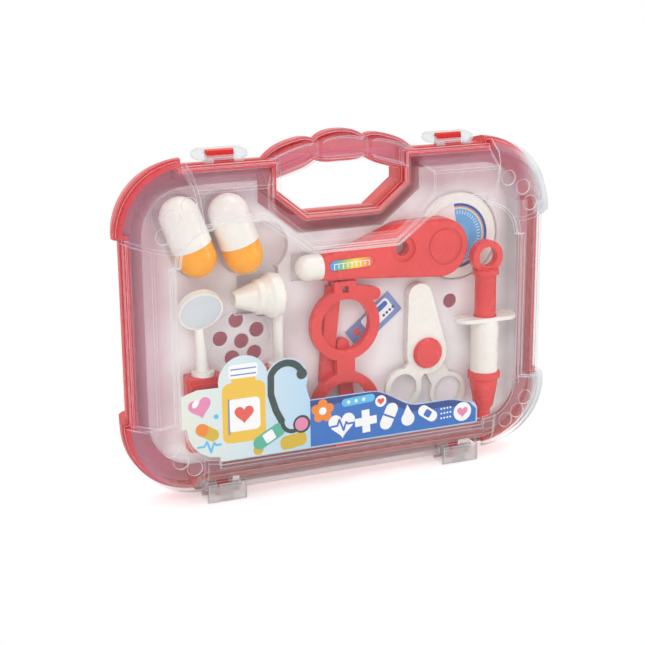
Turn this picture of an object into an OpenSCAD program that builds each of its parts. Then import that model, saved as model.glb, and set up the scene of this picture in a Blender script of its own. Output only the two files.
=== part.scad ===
// Toy doctor case: a red back shell, a clear lid hinged at the bottom edge, and toy instruments
// in a formed tray.  Stands on its feet: X across, the clear front faces -Y, Z up.

/* [Case] */
// Half width of the straight sides
case_hw = 136.2; // [130:0.5:142]
// Height of the straight bottom edge above the table
case_bottom = 11.5; // [9:0.5:14]
// Height of the straight top edge above the table
case_top = 204.7; // [198:0.5:210]
// Radius of the four corners
corner_r = 40.7; // [36:0.5:46]
// How far the corner bumps stand out
bump_out = 3.5; // [2:0.5:5]
// Depth of the clear lid in front of the parting plane
lid_d = 26; // [24:0.5:30]
// Depth of the red shell behind the parting plane
back_d = 21; // [19:0.5:26]
// Wall of both mouldings
wall = 1.8; // [1.5:0.1:2.2]

/* [Lid] */
// Depth of the straight rim of the lid
rim_d = 8; // [7:0.5:9]
// Width of the flat lip at the front of the rim
lip_w = 2.5; // [2:0.25:3]
// How far the sloped wall draws in at the shoulder
shoulder_in = 11.5; // [10:0.5:13]
// How far the window panel stands in front of the shoulder
panel_rise = 2; // [1:0.5:2.5]
// Half width of the window panel
window_hw = 114.5; // [108:0.5:116]
// Width of the bevel round the window panel
bevel = 2.6; // [2:0.2:4]
// Thickness of the printed label
label_t = 0.5; // [0.3:0.1:0.8]

/* [Handle] */
// Half width of the handle opening at its sides
opening_hw = 40; // [36:0.5:43]
// Half width of the flat bottom of the opening
opening_base_hw = 23; // [18:0.5:28]
// Height of the bottom of the opening above the table
opening_z = 171.3; // [168:0.5:175]
// Height of the arched top of the handle above the table
handle_top = 219; // [214:0.5:223]
// Height of a grip from bottom to top
grip_h = 19.5; // [16:0.5:21]
// Depth of each half of the handle
grip_d = 10; // [8:0.5:12]

/* [Hinge] */
// Distance of each foot from the middle
foot_x = 79; // [74:0.5:84]
// Width of a foot
foot_w = 24; // [22:0.5:28]
// Height of the hinge axis above the table
hinge_z = 4; // [4:0.1:4.5]
// Radius of the hinge pins
pin_r = 2; // [1.5:0.1:2.3]
// Radial clearance of the hinge pins in the knuckles
pin_gap = 0.08; // [0.05:0.01:0.1]
// Width of the red ear between the knuckles
ear_w = 7.6; // [6:0.2:9]

/* [Latches] */
// Distance of each latch from the middle
latch_x = 74; // [70:0.5:78]
// Width of a latch flap
latch_w = 34; // [30:0.5:38]
// Length of a latch flap
latch_l = 16; // [15:0.5:18]
// Thickness of a latch flap
latch_t = 1.6; // [1.2:0.1:2]
// Rise of the closed flap towards the back
latch_tilt = 18; // [14:1:20]
// Gap between a latch flap and the corner pad beside it
latch_gap = 2; // [1:0.5:4]
// Width of the red lug
lug_w = 16.4; // [14:0.2:18]

/* [Instruments] */
// Radius of a capsule body
capsule_r = 11.6; // [11:0.1:12]
// Distance between the round ends of a capsule
capsule_span = 26; // [22:0.5:27]
// Radius of the round mirror head
mirror_r = 13.5; // [12:0.5:14]
// Radius of the ear scope's bell
bell_r = 13.4; // [12:0.2:14.4]
// Width of the red grips of mirror and scope
tool_grip_w = 22; // [18:0.5:24]
// Radius of the round end of the thermometer
thermo_r = 18.3; // [16:0.1:19]
// Radius of the gauge
gauge_r = 27.3; // [25:0.1:30]
// Radius of a glasses ring
ring_r = 22.5; // [21:0.5:23.5]
// Width of the band of a glasses ring
ring_band = 6.5; // [5:0.5:8]
// Radius of the scissors hub
hub_r = 13.8; // [12:0.2:14.4]
// Thickness of one scissors half
blade_t = 3; // [2:0.25:3.5]
// Outer radius of the syringe barrel
barrel_r = 8.8; // [8.4:0.1:9.4]
// Radius of the barrel's bore
barrel_bore = 7.3; // [6.8:0.1:7.4]
// Length of the syringe barrel
barrel_l = 36; // [34:0.5:38]
// Travel of the syringe plunger
plunger_travel = 24; // [18:0.5:24]
// Height of the plunger ring's middle above the table
plunger_ring_z = 135; // [134:0.2:138]

/* [Hidden] */
$fn = 48;

red = "#D81E10";
white = "#F4F2EC";
clear_tint = "#D9DEE0";
eps = 0.01;

// The parting plane lies where the whole depth is centred on the origin
part_y = (lid_d - back_d) / 2;
gap = 0.3;              // clearance between pieces that rest on each other
joint_gap = 0.3;        // gap between lid rim and back shell
shoulder_d = lid_d - panel_rise;
pad_d = lid_d - 0.8;    // front of the corner pads
corner_x = case_hw - corner_r;
corner_top_z = case_top - corner_r;
corner_bot_z = case_bottom + corner_r;
bump_r = corner_r + bump_out;
opening_side_z = opening_z + 14;      // where the diagonals meet the upright sides
spigot_gap = 0.35;
spigot_t = 2;
spigot_d = rim_d - wall - 0.6;        // how far the red rim reaches into the lid
band_d = 4.3;                         // straight band of the back shell
band_in = 1.2;
back_in = 10;                         // how far the back shell's wall draws in
notch_draft = 3;                      // the same at the handle opening
pad_side_x = latch_x + latch_w / 2 + latch_gap;   // where the corner pads end towards the middle
pad_top_z = corner_top_z - 2;
pad_bot_z = corner_bot_z + 3.5;
dimple_r = 4.6;
dimple_ring = 22.4;                   // dimples lie this far from the corner's middle
hinge_band_z = case_bottom - 4.7;     // lowered flange between the feet

// Tray and instruments, measured from the parting plane
tray_in = 12.6;
tray_t = 1.2;
tray_y = -2;                          // front face of the tray
bed_y = tray_y - gap;                 // back of whatever lies on the tray
floor_y = back_d - wall;              // inside face of the back shell

// ---------- shared shapes ----------

// Puts 2D shapes drawn in X and Z between two depths
module slab(y0, y1) {
    translate([0, y1, 0]) rotate([90, 0, 0]) linear_extrude(y1 - y0) children();
}

// Places everything relative to the parting plane
module at_parting() {
    translate([0, part_y, 0]) children();
}

module both_sides() {
    children();
    mirror([1, 0, 0]) children();
}

function arc(cx, cz, r, a0, a1, n) =
    [for (i = [0:n]) let (a = a0 + (a1 - a0) * i / n) [cx + r * cos(a), cz + r * sin(a)]];

function flipped(pts) = [for (i = [len(pts) - 1:-1:0]) [-pts[i][0], pts[i][1]]];

// Angle of the diagonal sides of the handle opening
opening_a = atan2(opening_side_z - opening_z, opening_hw - opening_base_hw);

// Case outline in X and Z, drawn in by "i" all round, with the handle opening's notch at the top
function corners_half(i) = concat(
    arc(corner_x, corner_bot_z, corner_r - i, -90, 0, 8),
    arc(corner_x, corner_top_z, corner_r - i, 0, 90, 8));
function notch_side(i) = [opening_hw + i, opening_side_z - i * tan((90 - opening_a) / 2)];
function notch_base(i) = [opening_base_hw + i * tan(opening_a / 2), opening_z - i];
function outline_half(i) = concat(corners_half(i),
    [[opening_hw + i, case_top - i], notch_side(i), notch_base(i)]);
function outline(i) = concat(outline_half(i), flipped(outline_half(i)));
// The same in two convex outlines, for lofts: the rounded rectangle and the notch cut from it
function corners(i) = concat(corners_half(i), flipped(corners_half(i)));
function notch_half(i) = [notch_base(i), notch_side(i), [opening_hw + i, case_top + 20]];
function notch(i) = concat(notch_half(i), flipped(notch_half(i)));

// Window panel outline in X and Z: stepped corners, and a recess under the handle
window_bot = 27;
window_top = 177;
window_recess_z = 154.5;
window_step = 3;
panel_in = max(bevel, window_step);    // the raised panel lies this far inside the window's edge
window_corner = 24;
function window_half(i) = let (w = window_hw - i, b = window_bot + i, t = window_top - i,
        c = window_corner + window_step, r = window_corner - i) concat(
    [[w - c + i, b]],
    arc(w - c + i, b + c - i, r, -90, 0, 5),
    [[w, b + c - i], [w, t - c + i]],
    arc(w - c + i, t - c + i, r, 0, 90, 5),
    [[w - c + i, t], [55 + i, t], [27 + i * 0.4, window_recess_z - i]]);
function window(i) = concat(window_half(i), flipped(window_half(i)));

// Solid between outlines of equal point count; ys holds the depth of each one
module loft(rings, ys) {
    n = len(rings[0]);
    m = len(rings);
    pts = [for (k = [0:m - 1]) for (p = rings[k]) [p[0], ys[k], p[1]]];
    sides = [for (k = [0:m - 2]) for (j = [0:n - 1])
        let (a = k * n + j, b = k * n + (j + 1) % n) each [[a, b, b + n], [a, b + n, a + n]]];
    polyhedron(points = pts, faces = concat(
        [[for (j = [n - 1:-1:0]) j]], sides, [[for (j = [0:n - 1]) (m - 1) * n + j]]));
}

// Case outline lofted through depths "ys", drawn in by "ins", and its notch by "cuts"
module case_loft(ins, ys, cuts) {
    difference() {
        loft([for (i = ins) corners(i)], ys);
        loft([notch(cuts[0]), for (i = cuts) notch(i), notch(cuts[len(cuts) - 1])],
            [ys[0] - 1, each ys, ys[len(ys) - 1] + 1]);
    }
}

// Region in X and Z that a corner pad covers, right side; its ends are drawn in by "i"
module pad_region_top(i) {
    polygon([[pad_side_x + 6.5 + i, case_top + 10], [pad_side_x + i, corner_top_z + 12],
        [pad_side_x + i, corner_top_z - 4 + i], [case_hw - 22, pad_top_z - 4 + i],
        [case_hw + 10, pad_top_z + 4 + i], [case_hw + 10, case_top + 10]]);
}
module pad_region_bottom(i) {
    polygon([[pad_side_x + 2 + i, case_bottom - 10], [pad_side_x + 2 + i, corner_bot_z + 1 - i],
        [case_hw - 22, pad_bot_z + 3 - i], [case_hw + 10, pad_bot_z - 3 - i],
        [case_hw + 10, case_bottom - 10]]);
}

// The four corner pads: a profile of [radius, depth] pairs turned about each corner's middle
module corner_pads(profile, i) {
    ys = [for (p = profile) p[1]];
    both_sides() {
        intersection() {
            translate([corner_x, 0, corner_top_z]) pad_solid(profile);
            slab(min(ys) - 1, max(ys) + 1) pad_region_top(i);
        }
        intersection() {
            translate([corner_x, 0, corner_bot_z]) pad_solid(profile);
            slab(min(ys) - 1, max(ys) + 1) pad_region_bottom(i);
        }
    }
}
module pad_solid(profile) {
    rotate([-90, 0, 0]) rotate_extrude($fn = 96) polygon(profile);
}

// Cone frustum about the Y axis from depth y0 to y1
module cone_y(y0, y1, r0, r1) {
    translate([0, y0, 0]) rotate([-90, 0, 0]) cylinder(h = y1 - y0, r1 = r0, r2 = r1, $fn = 96);
}

// Arched line of the handle: height of its middle at x; its roots run into the case's top edge
handle_reach = opening_hw + 8;
root_drop = 6.2;
handle_rise = handle_top - grip_h / 2 - (case_top - root_drop);
function handle_mid(x) = handle_top - grip_h / 2 - handle_rise * pow(abs(x) / handle_reach, 1.8);
// Three grips swell between two grooves and the roots
groove_x = 16;
function grip_phase(x) = abs(x) < groove_x ? abs(x) / groove_x
    : abs((abs(x) - (groove_x + handle_reach) / 2) / ((handle_reach - groove_x) / 2));
function grip_swell(x) = 1 - 0.33 * pow(grip_phase(x), 3);
// Cross-section of a grip in shares of its depth and half height, with a panel sunk by q
function grip_section(q) = [[0, -1], [0.6, -0.96], [0.87, -0.84], [0.995, -0.66], [1 - q, -0.58],
    [1 - q, 0.58], [0.995, 0.66], [0.87, 0.84], [0.6, 0.96], [0, 1]];
grip_panel = 0.08;
function panel_sink(x) = grip_phase(x) < 0.8 ? grip_panel : -0.005;

// One half of the handle, a bar that swells at each grip; dir -1 front, 1 back
module handle_half(dir, inset, y0) {
    xs = [for (k = [-18:18]) k * handle_reach / 18];
    rings = [for (x = xs) let (h = grip_h / 2 * grip_swell(x) - inset,
            d = (grip_d - inset) * grip_swell(x))
        [for (p = grip_section(panel_sink(x))) [x, y0 + dir * d * p[0], handle_mid(x) + h * p[1]]]];
    m = len(rings[0]);
    last = len(xs) - 1;
    sides = [for (k = [0:last - 1]) for (j = [0:m - 1])
        let (a = k * m + j, b = k * m + (j + 1) % m) each [[a, b, b + m], [a, b + m, a + m]]];
    faces = concat([[for (j = [m - 1:-1:0]) j]], sides, [[for (j = [0:m - 1]) last * m + j]]);
    polyhedron(points = [for (r = rings) each r],
        faces = dir < 0 ? faces : [for (f = faces) [for (q = [len(f) - 1:-1:0]) f[q]]]);
}

// ---------- back case ----------

module rim_profile(i) {
    polygon(outline(i));
    both_sides() {
        intersection() {
            translate([corner_x, corner_top_z]) circle(r = bump_r - i, $fn = 96);
            pad_region_top(i);
        }
        intersection() {
            translate([corner_x, corner_bot_z]) circle(r = bump_r - i, $fn = 96);
            pad_region_bottom(i);
        }
    }
}

// Lowered edge between the feet
module hinge_band(y0, y1) {
    translate([-(foot_x - foot_w / 2 - 1), y0, hinge_band_z])
        cube([2 * (foot_x - foot_w / 2 - 1), y1 - y0, case_bottom - hinge_band_z + wall]);
}

// Volume of the back shell; g draws every face in by the wall
module back_form(g) {
    top = joint_gap - (g > 0 ? 1 : 0);
    slab(top, band_d) polygon(outline(g));
    case_loft([band_in + g * 1.2, band_in + g * 1.2, back_in + g * 1.2],
        [band_d - 0.5, band_d, back_d - g],
        [band_in + g * 1.2, band_in + g * 1.2, notch_draft + g * 1.2]);
    corner_pads([[0, top], [bump_r - g, top], [bump_r - g, band_d],
        [bump_r - g - 3.4, back_d - 2.5 - g], [bump_r - g - 6.5, back_d - g], [0, back_d - g]], g);
}

// Red rim that enters the lid
module spigot() {
    difference() {
        union() {
            slab(-spigot_d, joint_gap + 1) rim_profile(wall + spigot_gap);
            slab(joint_gap, joint_gap + spigot_t) rim_profile(wall - eps);
        }
        slab(-spigot_d - 1, joint_gap + spigot_t + 1) rim_profile(wall + spigot_gap + spigot_t);
    }
}

// Lug that pokes through a latch flap; its back edge is bevelled for the flap to slide over
lug_y0 = 0.6;
lug_y1 = 4.4;
lug_top = case_top + 7;
module lug() {
    translate([latch_x - lug_w / 2, 0, 0]) rotate([90, 0, 90]) linear_extrude(lug_w)
        polygon([[lug_y0, case_top - 2], [lug_y1 + 1, case_top - 2], [lug_y1, case_top + 2],
            [lug_y1, lug_top - 1.2], [lug_y1 - 1.2, lug_top], [lug_y0 + 0.8, lug_top],
            [lug_y0, lug_top - 0.8]]);
}

// Ear and pins that carry the lid's knuckles
module hinge_ear() {
    translate([foot_x - ear_w / 2, 0, 0]) rotate([90, 0, 90]) linear_extrude(ear_w) {
        translate([0, hinge_z]) circle(r = pin_r + 1.4);
        polygon([[0.4, hinge_z - 3.3], [3.4, hinge_z], [5.5, case_bottom + 1],
            [0.4, case_bottom + 1]]);
    }
    translate([foot_x - foot_w / 2 + 1.5, 0, hinge_z]) rotate([0, 90, 0])
        cylinder(h = foot_w - 3, r = pin_r);
}

// Rear foot that keeps the case standing
rear_foot_y0 = 14.5;
rear_foot_y1 = 19;
module rear_foot() {
    translate([foot_x - foot_w / 2, 0, 0]) rotate([90, 0, 90]) linear_extrude(foot_w)
        polygon([[rear_foot_y0, 0], [rear_foot_y1, 0], [rear_foot_y1, case_bottom + 10],
            [rear_foot_y0 - 2, case_bottom + 8]]);
}

back_panel_in = 26;
back_panel_d = 1;
module back_shell() {
    color(red) at_parting() {
        difference() {
            union() {
                difference() {
                    union() {
                        back_form(0);
                        hinge_band(joint_gap, band_d);
                    }
                    back_form(wall);
                }
                difference() {
                    handle_half(1, 0, joint_gap);
                    handle_half(1, wall, joint_gap - 1);
                    slab(-1, back_d) polygon(outline(wall));
                }
                difference() {
                    both_sides() rear_foot();
                    back_form(wall / 2);
                }
            }
            // recessed panel on the back
            case_loft([back_panel_in, back_panel_in - 1, back_panel_in - 1],
                [back_d - back_panel_d, back_d, back_d + 1],
                [back_panel_in, back_panel_in - 1, back_panel_in - 1] - [1, 1, 1] * 8);
        }
        spigot();
        both_sides() {
            lug();
            hinge_ear();
        }
    }
}

// ---------- tray ----------

// Sizes of the instruments that the tray follows
left_x = -(case_hw - 44.4);           // line of the mirror
right_x = case_hw - 42.1;             // line of the syringe
capsules = [[left_x - 1.6, 151.9, 21], [left_x + 26.8, 151.2, 19]];   // lower end in X and Z, lean
capsule_y = bed_y - 7.5;
capsule_cap_r = capsule_r + 0.4;
mirror_x = left_x;
mirror_z = 121.5;
scope_x = left_x + 47.2;
scope_z = 124.8;
scope_y = bell_r + 2 * gap - (lid_d - wall);   // the bell ends just behind the window
syringe_x = right_x;
collar_r = barrel_r + 1.5;             // the syringe lies on the collar of its cap
syringe_y = bed_y - collar_r;
barrel_z1 = 97;                       // top of the barrel
tool_grip_d = 14;
tool_grip_z0 = 36;
tool_grip_z1 = 81;

// Outline of a capsule's pocket in X and Z
module capsule_outline(c, grow) {
    translate([c[0], c[1]]) rotate(c[2]) {
        circle(r = capsule_cap_r + grow);
        translate([0, capsule_span]) circle(r = capsule_cap_r + grow);
        translate([-capsule_cap_r - grow, 0])
            square([2 * (capsule_cap_r + grow), capsule_span]);
    }
}

// Pockets: grown by the tray's thickness outside, and as they are inside
module pockets(grow, y0, deep) {
    for (c = capsules)
        slab(y0, capsule_y + capsule_cap_r + gap + deep) capsule_outline(c, 0.6 + grow);
    slab(y0, scope_y + bell_r + gap + deep) {
        translate([scope_x - 9.5 - grow, scope_z - bell_r - 1 - grow])
            square([13.5 + 2 * grow, 2 * (bell_r + 1 + grow)]);
        translate([scope_x - 22 - grow, scope_z - 12 - grow])
            square([20 + grow, 2 * (12 + grow)]);
    }
    // spare round pocket, and the sunk field of holes
    slab(y0, tray_y + 6 + deep) translate([left_x + 42.8, 152.5]) circle(r = 15 + grow);
    slab(y0, tray_y + 1 + deep) translate([left_x + 26.3, 97]) circle(r = 19 + grow);
    slab(y0, gauge_y + gauge_t + gap + deep)
        translate([gauge_x, gauge_z]) circle(r = gauge_r + 0.5 + grow);
    slab(y0, thermo_y + tip_r + gap + deep)
        translate([tip_x - tip_l - tip_r - 0.6 - grow, thermo_neck[1] - tip_r - 0.6 - grow])
            square([tip_l + tip_r + 1.2 + 2 * grow, 2 * (tip_r + 0.6 + grow)]);
}

// Round holes in the tray, in X and Z
tray_holes = [[left_x + 24.3, 109.5], [left_x + 14, 99.2], [left_x + 27.4, 96.3],
    [left_x + 37.2, 102.3], [left_x + 21.2, 86.6], [left_x + 35.4, 88.2], [right_x - 19.4, 106]];
tray_hole_r = 4.6;

module tray() {
    color("#C9B4B6") at_parting() difference() {
        union() {
            slab(tray_y, tray_y + tray_t) polygon(outline(tray_in));
            difference() {
                slab(tray_y, floor_y - gap) polygon(outline(tray_in));
                slab(tray_y - 1, floor_y) polygon(outline(tray_in + tray_t));
            }
            pockets(tray_t, tray_y, tray_t);
        }
        pockets(0, tray_y - 1, 0);
        for (h = tray_holes)
            slab(tray_y - 1, tray_y + tray_t + 2) translate(h) circle(r = tray_hole_r);
    }
}

// ---------- capsules ----------

border_up = 7.5;                      // height of the colour border above the lower end
module capsule_frame(c) {
    at_parting() translate([c[0], capsule_y, c[1]]) rotate([0, -c[2], 0]) children();
}
module capsule_body(c) {
    color("#FFB52A") capsule_frame(c) {
        sphere(r = capsule_r);
        cylinder(h = border_up, r = capsule_r);
        cylinder(h = border_up + 5, r = capsule_r - 1.2);
    }
}
module capsule_cap(c) {
    color(white) capsule_frame(c) difference() {
        union() {
            translate([0, 0, capsule_span]) sphere(r = capsule_cap_r);
            translate([0, 0, border_up + 0.1])
                cylinder(h = capsule_span - border_up, r = capsule_cap_r);
        }
        translate([0, 0, border_up - 1]) cylinder(h = 7.5, r = capsule_r - 1.1);
    }
}

// ---------- mouth mirror ----------

mirror_y = bed_y - tool_grip_d / 2;
mirror_lean = 25;                     // the head leans forward at its top
head_t = 4;
// The stem ends in the head's rim, below the mirror disc
mirror_stem = mirror_z - (mirror_r - 0.3) * cos(mirror_lean) - tool_grip_z1;
module mirror_head_frame() {
    at_parting() translate([mirror_x - 1.6, mirror_y - 3, mirror_z]) rotate([mirror_lean, 0, 0])
        children();
}
module mirror_frame() {
    color(white) {
        mirror_head_frame() difference() {
            rotate([90, 0, 0]) cylinder(h = head_t, r = mirror_r, center = true);
            translate([0, -head_t / 2, 0]) rotate([90, 0, 0])
                cylinder(h = 2, r = mirror_r - 1.6, center = true);
        }
        at_parting() translate([mirror_x, mirror_y, tool_grip_z1 + 0.1]) {
            translate([0, 0, 1]) rotate([0, -atan(1.6 / mirror_stem), 0])
                cylinder(h = mirror_stem - 1, r1 = 4, r2 = 2.5);
            cylinder(h = 2.5, r = tool_grip_d / 2 - 0.2);
        }
    }
}
module mirror_face() {
    color("#B9CBD6") mirror_head_frame()
        translate([0, -head_t / 2 + 0.5, 0]) rotate([90, 0, 0])
            cylinder(h = 0.8, r = mirror_r - 1.7, center = true);
}

// Red grip shared by the mirror and the scope: a flattened bar with finger ribs
module tool_grip(x, y) {
    rib = 0.8;
    color(red) at_parting() translate([x, y, 0]) intersection() {
        union() {
            translate([-tool_grip_w / 2, rib - tool_grip_d / 2, tool_grip_z0])
                cube([tool_grip_w, tool_grip_d - 2 * rib, tool_grip_z1 - tool_grip_z0]);
            for (z = [tool_grip_z0 + 4 : 7 : tool_grip_z1 - 4])
                translate([-tool_grip_w / 2, -tool_grip_d / 2, z])
                    cube([tool_grip_w, tool_grip_d, 2.4]);
        }
        translate([0, 0, tool_grip_z0 - 1]) cylinder(h = 60, r = tool_grip_w / 2 + 0.6);
    }
}
module mirror_grip() { tool_grip(mirror_x, mirror_y); }

// ---------- ear scope ----------

module scope_head() {
    color(white) at_parting() {
        translate([scope_x, scope_y, scope_z]) rotate([0, -90, 0]) rotate_extrude()
            polygon([[0, -2.9], [bell_r - 3, -2.4], [bell_r - 0.5, -0.4], [bell_r, 2.6],
                [bell_r, 5.6], [bell_r - 1.5, 7.6], [10.5, 10.1], [10.5, 13.6], [9, 15.1],
                [8.5, 16.6], [4.6, 27.6], [3, 27.6], [3, 22.6], [0, 22.6]]);
        translate([scope_x, scope_y, tool_grip_z1 + 0.1]) {
            cylinder(h = scope_z - tool_grip_z1 - 5, r = 3.2);
            cylinder(h = 2.5, r = 6.5);
        }
    }
}
module scope_grip() { tool_grip(scope_x, bed_y - tool_grip_d / 2); }

// ---------- gauge ----------

gauge_x = right_x - 14.5;
gauge_z = 147.2;
gauge_t = 4.7;
gauge_y = tray_y;                     // front face, sunk flush with the tray
dial_r = gauge_r - 6.8;
module gauge_body() {
    color(white) at_parting() difference() {
        translate([gauge_x, 0, gauge_z]) {
            cone_y(gauge_y, gauge_y + 1.2, gauge_r - 1.2, gauge_r);
            cone_y(gauge_y + 1.2 - eps, gauge_y + gauge_t, gauge_r, gauge_r);
        }
        translate([gauge_x, 0, gauge_z]) cone_y(gauge_y - 1, gauge_y + 0.8, dial_r, dial_r);
    }
}
module gauge_dial() {
    color("#4FA8DE") at_parting() translate([gauge_x, 0, gauge_z])
        cone_y(gauge_y + 0.2, gauge_y + 0.8, dial_r - 0.2, dial_r - 0.2);
}

// ---------- thermometer ----------

thermo_y1 = bed_y;
thermo_t = 10;
thermo_y0 = thermo_y1 - thermo_t;
thermo_y = (thermo_y0 + thermo_y1) / 2;
thermo_end = [63.5, 143];
thermo_waist = [38, 144];
thermo_neck = [-7.7, 138.2];
thermo_neck_r = 8.2;
thermo_hole = [37.5, 144.6];
tip_r = 7.8;
tip_l = 8.2;                          // straight part of the tip
tip_x = thermo_neck[0] - 8 - 0.1;
module thermo_outline(grow) {
    hull() {
        translate(thermo_end) circle(r = thermo_r + grow);
        translate(thermo_waist) circle(r = thermo_r - 1.5 + grow);
        translate([thermo_neck[0] + 18, thermo_neck[1] + 1.6]) circle(r = thermo_neck_r + 2.6 + grow);
    }
    hull() {
        translate([thermo_neck[0] + 18, thermo_neck[1] + 1.6]) circle(r = thermo_neck_r + 2.6 + grow);
        translate([thermo_neck[0] - 8, thermo_neck[1] - thermo_neck_r - grow])
            square([1, 2 * (thermo_neck_r + grow)]);
    }
}
module thermometer_body() {
    color(red) at_parting() difference() {
        union() {
            slab(thermo_y0 + 1.2, thermo_y1) thermo_outline(0);
            slab(thermo_y0, thermo_y0 + 1.2 + eps) thermo_outline(-1.2);
        }
        translate([thermo_hole[0], 0, thermo_hole[1]]) {
            cone_y(thermo_y0 - 1, thermo_y1 + 1, 4.5, 4.5);
            cone_y(thermo_y0 - eps, thermo_y0 + 2, 8, 8);
        }
        translate([thermo_end[0] + 2, 0, thermo_end[1] + 1]) difference() {
            cone_y(thermo_y0 - eps, thermo_y0 + 0.8, thermo_r * 0.64, thermo_r * 0.64);
            cone_y(thermo_y0 - 1, thermo_y0 + 1, thermo_r * 0.56, thermo_r * 0.56);
        }
        slab(thermo_y0 - 1, thermo_y0 + 0.5) scale_outline(0.3);
    }
}
module thermometer_tip() {
    color(white) at_parting()
        translate([tip_x, thermo_y, thermo_neck[1]]) rotate([0, -90, 0]) rotate_extrude() {
            square([tip_r, tip_l]);
            intersection() {
                translate([0, tip_l - eps]) circle(r = tip_r);
                translate([0, tip_l - eps]) square([tip_r, tip_r]);
            }
        }
}
// Printed strip on the neck
module scale_outline(grow) {
    translate([thermo_neck[0] - 3.6, 138.8]) rotate(1.6) {
        for (x = [3, 25.5]) translate([x, 0]) circle(r = 3 + grow);
        translate([3, -3 - grow]) square([22.5, 6 + 2 * grow]);
    }
}
module thermometer_scale() {
    color("#9FD3C0") at_parting() slab(thermo_y0 + 0.05, thermo_y0 + 0.45) scale_outline(0);
}

// ---------- glasses ----------

glass_x = -1.2;
glass_z = [101.5, 49.2];              // middles of the two rings
card_t = 0.6;
temple_y1 = bed_y - card_t - gap;     // the folded arms lie on the card
temple_t = 3.6;
glass_y1 = temple_y1 - temple_t - gap;
glass_t = 5;
tab_w = 14.5;
tab_top = 128.6;
tab_bot = 24;
tab_ear = 3;                          // ears behind the tabs, where the arms are hinged
module glasses_frame() {
    color(red) at_parting() {
        slab(glass_y1 - glass_t, glass_y1) difference() {
            union() {
                for (z = glass_z) translate([glass_x, z]) circle(r = ring_r, $fn = 72);
                translate([glass_x - 6, glass_z[1]]) square([12, glass_z[0] - glass_z[1]]);
                translate([glass_x - tab_w / 2, glass_z[0]]) square([tab_w, tab_top - glass_z[0]]);
                translate([glass_x - tab_w / 2, tab_bot]) square([tab_w, glass_z[1] - tab_bot]);
                hull() {
                    translate([glass_x + tab_w / 2 + 1, tab_top - 7]) circle(r = 3.6);
                    translate([glass_x + tab_w / 2 + 12, tab_top - 9.5]) circle(r = 4);
                }
            }
            for (z = glass_z)
                translate([glass_x, z]) circle(r = ring_r - ring_band, $fn = 72);
            translate([glass_x - 2, tab_top - 7]) square([4, 4]);
        }
        // ears behind the tabs that the arms fold against
        slab(glass_y1 - eps, bed_y) translate([glass_x - tab_w / 2, tab_top - tab_ear])
            square([tab_w, tab_ear]);
        slab(glass_y1 - eps, bed_y) translate([glass_x - tab_w / 2, tab_bot])
            square([tab_w, tab_ear]);
    }
}
// Folded side arm: a bar that leans and tapers to a rounded end
module temple(x0, x1, z0, z1) {
    s = z1 > z0 ? 1 : -1;
    slab(temple_y1 - temple_t, temple_y1) {
        polygon([[x0 - 4.8 * s, z0], [x0 + 4.8 * s, z0], [x1 + 4 * s, z1], [x1 - 4 * s, z1]]);
        translate([x1, z1]) circle(r = 3.95);
    }
}
module temple_upper() {
    color(red) at_parting() temple(glass_x - 5.2, glass_x - 11, tab_top - tab_ear - gap, 66);
}
module temple_lower() {
    color(red) at_parting() temple(glass_x + 5.2, glass_x + 0.5, tab_bot + tab_ear + gap, 88);
}
module picture_card() {
    color("#5B86B8") at_parting() slab(bed_y - card_t, bed_y)
        translate([glass_x + 22.8, 99.4]) rotate(38.6) square([37, 15], center = true);
}

// ---------- scissors ----------

hub = [right_x - 38.3, 76];
scissors_y1 = bed_y;                  // back of the back half
blade_y = scissors_y1 - blade_t;
rivet_y = blade_y - gap - blade_t - gap;   // back of the rivet, on the end of the post
left_ring = hub - [16.2, 21];
right_ring = hub + [16.6, -28];
finger_r = 12.5;
blade_l = 37;
blade_r = 8;                          // rounded end of the blades
post_r = 4;
post_gap = 0.08;
// One half: blade, hub and a finger ring at c
module scissors_half(c, hole_r) {
    difference() {
        union() {
            hull() {
                translate(hub) circle(r = hub_r);
                translate(hub + [blade_r - hub_r + 0.8, blade_l]) circle(r = blade_r);
            }
            translate(c) circle(r = finger_r);
            hull() {
                translate(hub + (c - hub) * 0.25) circle(r = 6);
                translate(hub + (c - hub) * 0.62) circle(r = 7);
            }
        }
        translate(c) circle(r = hole_r);
    }
}
module scissors_back() {
    color(white) at_parting() {
        slab(blade_y, scissors_y1) scissors_half(right_ring, finger_r - 2.8);
        // pivot post that the front half turns on
        translate([hub[0], 0, hub[1]]) cone_y(rivet_y, scissors_y1, post_r, post_r);
    }
}
module scissors_front() {
    color(white) at_parting() difference() {
        slab(blade_y - gap - blade_t, blade_y - gap) scissors_half(left_ring, finger_r - 3.5);
        translate([hub[0], 0, hub[1]])
            cone_y(rivet_y - 1, scissors_y1, post_r + post_gap, post_r + post_gap);
    }
}
rivet_r = 9.8;
module scissors_rivet() {
    color(red) at_parting() translate([hub[0], 0, hub[1]]) {
        cone_y(rivet_y - 2.6, rivet_y - 1, rivet_r - 1.2, rivet_r);
        cone_y(rivet_y - 1 - eps, rivet_y, rivet_r, rivet_r);
    }
}

// ---------- syringe ----------

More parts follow.
